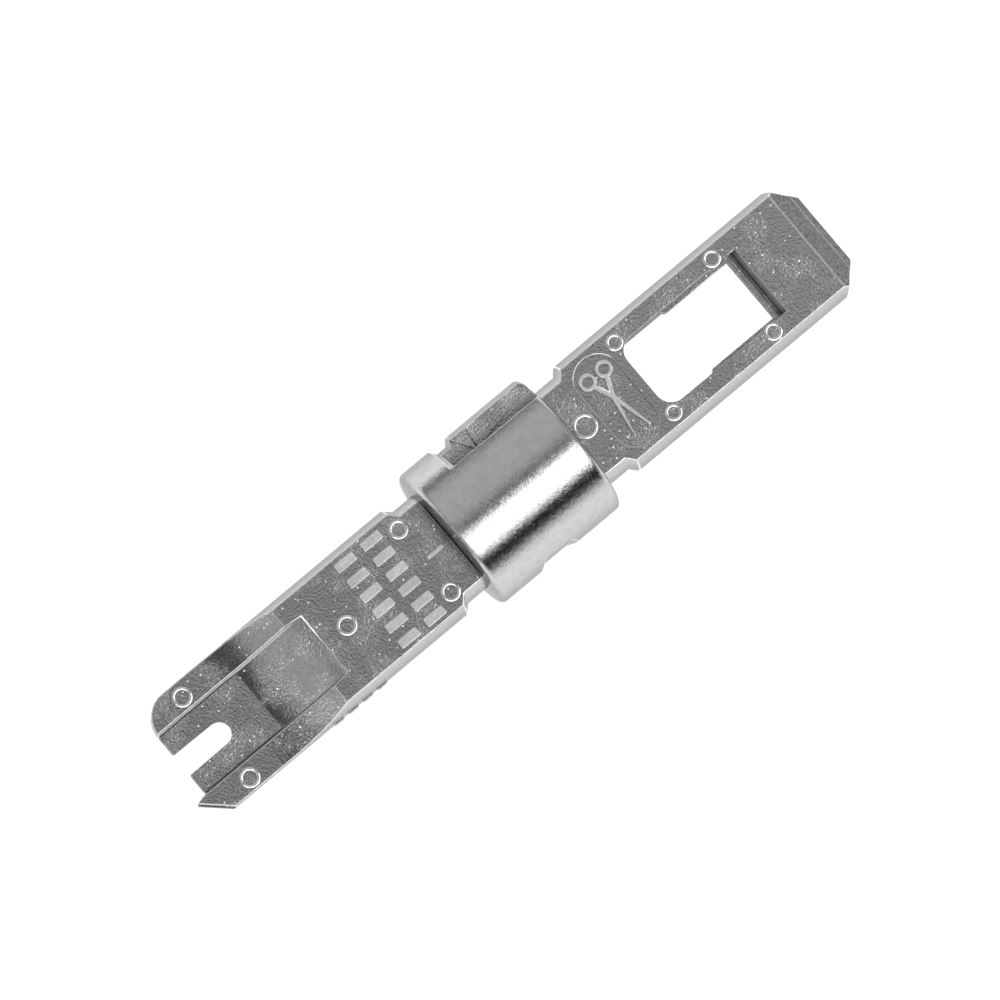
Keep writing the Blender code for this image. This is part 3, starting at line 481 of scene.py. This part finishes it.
def hole_rim(name):
    """Centre and radius of the hole that a dowel sits in, with a margin."""
    low, high = (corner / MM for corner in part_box(name))
    centre = (low + high) / 2
    return centre.x, centre.y, (high.x - low.x) / 2 + 2 * DOWEL_CLEARANCE


def dowel_piece(name, materials):
    """A dowel turned round its own axis: it fills its hole and has a low ridge near each rim.

    The second material is the one for the flanks of the ridge.
    """
    low, high = (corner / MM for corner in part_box(name))
    centre = (low + high) / 2
    rim = (high.x - low.x) / 2 + DOWEL_CLEARANCE
    profile = [(0.0, high.z + DOWEL_DROP)]
    profile += [(rim - inset, high.z + DOWEL_DROP + rise) for inset, rise in DOWEL_RIDGE]
    profile += [(rim - inset, low.z - DOWEL_DROP - rise) for inset, rise in reversed(DOWEL_RIDGE)]
    profile += [(0.0, low.z - DOWEL_DROP)]
    bm = bmesh.new()
    verts = [bm.verts.new((centre.x + radius, centre.y, z)) for radius, z in profile]
    edges = [bm.edges.new(pair) for pair in zip(verts, verts[1:])]
    bmesh.ops.spin(
        bm,
        geom=verts + edges,
        cent=(centre.x, centre.y, 0.0),
        axis=(0.0, 0.0, 1.0),
        angle=2 * math.pi,
        steps=DOWEL_STEPS,
    )
    bmesh.ops.remove_doubles(bm, verts=bm.verts, dist=WELD)
    bmesh.ops.recalc_face_normals(bm, faces=bm.faces)
    for face in bm.faces:
        face.smooth = True
        # Ridge flanks take the edge material: lighter rubbed wear plus a painted highlight.
        face.material_index = 1 if DOWEL_FLANK_Z[0] < abs(face.normal.z) < DOWEL_FLANK_Z[1] else 0
    place_piece(name, finished_mesh(name, bm, materials, DOWEL_SHARP_ANGLE))


# ---------------------------------------------------------------- stage, light and camera


def make_floor(low_z, material):
    bm = bmesh.new()
    bmesh.ops.create_grid(bm, x_segments=1, y_segments=1, size=FLOOR_SIZE_M / 2)
    mesh = bpy.data.meshes.new("floor")
    bm.to_mesh(mesh)
    bm.free()
    mesh.materials.append(material)
    floor = bpy.data.objects.new("floor", mesh)
    floor.location = (0.0, 0.0, low_z - FLOOR_GAP * MM)
    bpy.context.scene.collection.objects.link(floor)


def make_world():
    """A soft studio: a white box on the -Y side, dark flags, and the dark front of the camera."""
    world = bpy.data.worlds.new("studio")
    bpy.context.scene.world = world
    world.use_nodes = True
    tree = world.node_tree
    background = tree.nodes["Background"]
    direction = add_node(tree, "ShaderNodeTexCoord").outputs["Generated"]
    parts = add_node(tree, "ShaderNodeSeparateXYZ", {0: direction})
    turn = math_node(tree, "ARCTAN2", parts.outputs["Y"], parts.outputs["Z"])
    share = map_range(tree, turn, -math.pi, math.pi, 0.0, 1.0)
    ramp = add_node(tree, "ShaderNodeValToRGB", {"Fac": share})
    ramp.color_ramp.interpolation = "LINEAR"
    elements = ramp.color_ramp.elements
    while len(elements) > 1:
        elements.remove(elements[-1])
    for index, (degrees, value) in enumerate(STUDIO):
        position = (degrees + 180.0) / 360.0
        element = elements[0] if index == 0 else elements.new(position)
        element.position = position
        element.color = (value, value, value, 1.0)
    lens = add_node(
        tree, "ShaderNodeVectorMath", {0: direction, 1: LENS_FLAG}, operation="DOT_PRODUCT"
    ).outputs["Value"]
    away = math_node(tree, "ARCCOSINE", lens, 0.0)
    near, far = (math.radians(degrees) for degrees in LENS_FLAG_ANGLES)
    clear = map_range(tree, away, near, far, LENS_FLAG_LEVEL, 1.0)
    reach = math_node(tree, "ABSOLUTE", parts.outputs["X"], 0.0)
    ends = map_range(tree, reach, ENDS_REACH[0], ENDS_REACH[1], 0.0, 1.0)
    level = mix_colours(tree, ends, ramp.outputs["Color"], grey(ENDS_LEVEL))
    colour = mix_colours(tree, clear, (0.0, 0.0, 0.0, 1.0), level)
    tree.links.new(colour, background.inputs["Color"])
    background.inputs["Strength"].default_value = 1.0


def make_camera():
    """A long lens; the blade's axis climbs at AXIS_CLIMB above the picture's horizontal."""
    camera = bpy.data.cameras.new("camera")
    camera.type = "PERSP"
    camera.lens = LENS
    camera.sensor_width = SENSOR
    distance = FRAME_WIDTH * MM * LENS / SENSOR
    camera.clip_start = distance * NEAR_CLIP
    camera.clip_end = distance * FAR_CLIP
    back = TOWARDS_CAMERA
    along = (Vector((1.0, 0.0, 0.0)) - back * back.x).normalized()
    across = back.cross(along)
    right = math.cos(AXIS_CLIMB) * along - math.sin(AXIS_CLIMB) * across
    up = math.sin(AXIS_CLIMB) * along + math.cos(AXIS_CLIMB) * across
    aim = (right * AIM_RIGHT + up * AIM_UP) * MM
    place = aim + back * distance
    rows = Matrix((right, up, back)).transposed().to_4x4()
    obj = bpy.data.objects.new("camera", camera)
    obj.matrix_world = Matrix.Translation(place) @ rows
    bpy.context.scene.collection.objects.link(obj)
    bpy.context.scene.camera = obj


# ---------------------------------------------------------------- the blade


def plain_chooser(normal, centre):
    """The first material all over."""
    return 0


def raised_chooser(pad_z, sign=None, window=None):
    """Worn on the pads' tops and the sign, darker walls round the window as painted shade, chisel on
    the tip, else sandy.
    """

    def choose(normal, centre):
        level = normal.z > FACE_NORMAL_Z
        if level and centre.z > pad_z:
            return 1
        if level and sign and centre.z > sign[0].z and inside(centre, sign):
            return 1
        # Walls round the window take the darker wall finish, a painted shade.
        if window and abs(normal.z) < UPRIGHT_NORMAL and inside(centre, window):
            return 2
        leans = min(normal.x, normal.z) > CHISEL_LEAN
        if window and leans and centre.x > window[1].x:
            return 3
        return 0

    return choose


def insert_chooser(normal, centre):
    """Sandy top and bottom, chisel on the tip, walls in the darker wall finish as painted shade."""
    if min(normal.x, normal.z) > CHISEL_LEAN:
        return 2
    return 0 if abs(normal.z) > UPRIGHT_NORMAL else 1


def collar_chooser(radius):
    """Blasted flats and groove floors, turned elsewhere."""

    def choose(normal, centre):
        sunk = math.hypot(centre.y, centre.z) < radius - TURNED_DEPTH
        return 1 if sunk and abs(normal.x) <= UPRIGHT_NORMAL else 0

    return choose


def main():
    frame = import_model()
    cad_low, cad_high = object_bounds()
    nodes = frame["nodes"]

    sandy = sandy_metal("cast_nickel_sandy")
    worn = sandy_metal("rubbed_nickel_pad")
    painted_shade_wall = sandy_metal("painted_shade_nickel_wall")
    blasted = sandy_metal("blasted_nickel_pocket")
    edge = wear_and_highlight_edge_material()
    turned = turned_material()
    hardened = hardened_material()
    chisel = chisel_material()

    blade_radius = max(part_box("front_cheek_66")[1].y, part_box("front_cheek_110")[1].y) / MM
    collar_radius = cad_high.z / MM
    radii = (blade_radius, blade_radius - NECK_STEP)
    opening_low, opening_high = frame["record"]["physics"]["openings"][0]["box_m"]
    margin = Vector((WINDOW_MARGIN, WINDOW_MARGIN, 0.0))
    window = (Vector(opening_low) / MM - margin, Vector(opening_high) / MM + margin)
    holes = [hole_rim(name) for name in nodes if name.startswith("dowel")]
    face_z = -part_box("rear_cheek_66")[0].z / MM
    sign = (
        Vector((SIGN_X[0], -SIGN_REACH_Y, face_z - FACE_MARGIN)),
        Vector((SIGN_X[1], SIGN_REACH_Y, face_z)),
    )
    pad_z = face_z + FACE_MARGIN

    finishes = [sandy, worn, edge]
    chooser = raised_chooser(pad_z)
    for name in ("front_cheek_66", "rear_cheek_66"):
        skin(name, nodes, finishes, chooser, CHEEK_EDGE, radii, holes)
    finishes = [sandy, worn, painted_shade_wall, chisel, edge]
    chooser = raised_chooser(pad_z, sign, window)
    for name in ("front_cheek_110", "rear_cheek_110"):
        skin(name, nodes, finishes, chooser, CHEEK_EDGE, radii, holes, window)
    finishes = [sandy, painted_shade_wall, chisel, edge]
    for name in ("fork_strip_66", "cutter_66", "cutter_110", "punch_shoe_110"):
        skin(name, nodes, finishes, insert_chooser, INSERT_EDGE, radii, holes)
    finishes = [turned, blasted, edge]
    chooser = collar_chooser(collar_radius)
    skin("bayonet_collar", nodes, finishes, chooser, COLLAR_EDGE, (collar_radius,))
    for name in nodes:
        if name.startswith("dowel"):
            dowel_piece(name, [sandy, edge])
    for name, slot in (
        ("spine_tang", "spine_steel"),
        ("collar_pin_66", "dowel_steel"),
        ("collar_pin_110", "dowel_steel"),
    ):
        skin(name, nodes, [hardened, edge], plain_chooser, PIN_EDGE)

    make_floor(cad_low.z, floor_material())
    make_world()
    make_camera()
    bpy.context.scene.view_settings.view_transform = "Standard"


main()
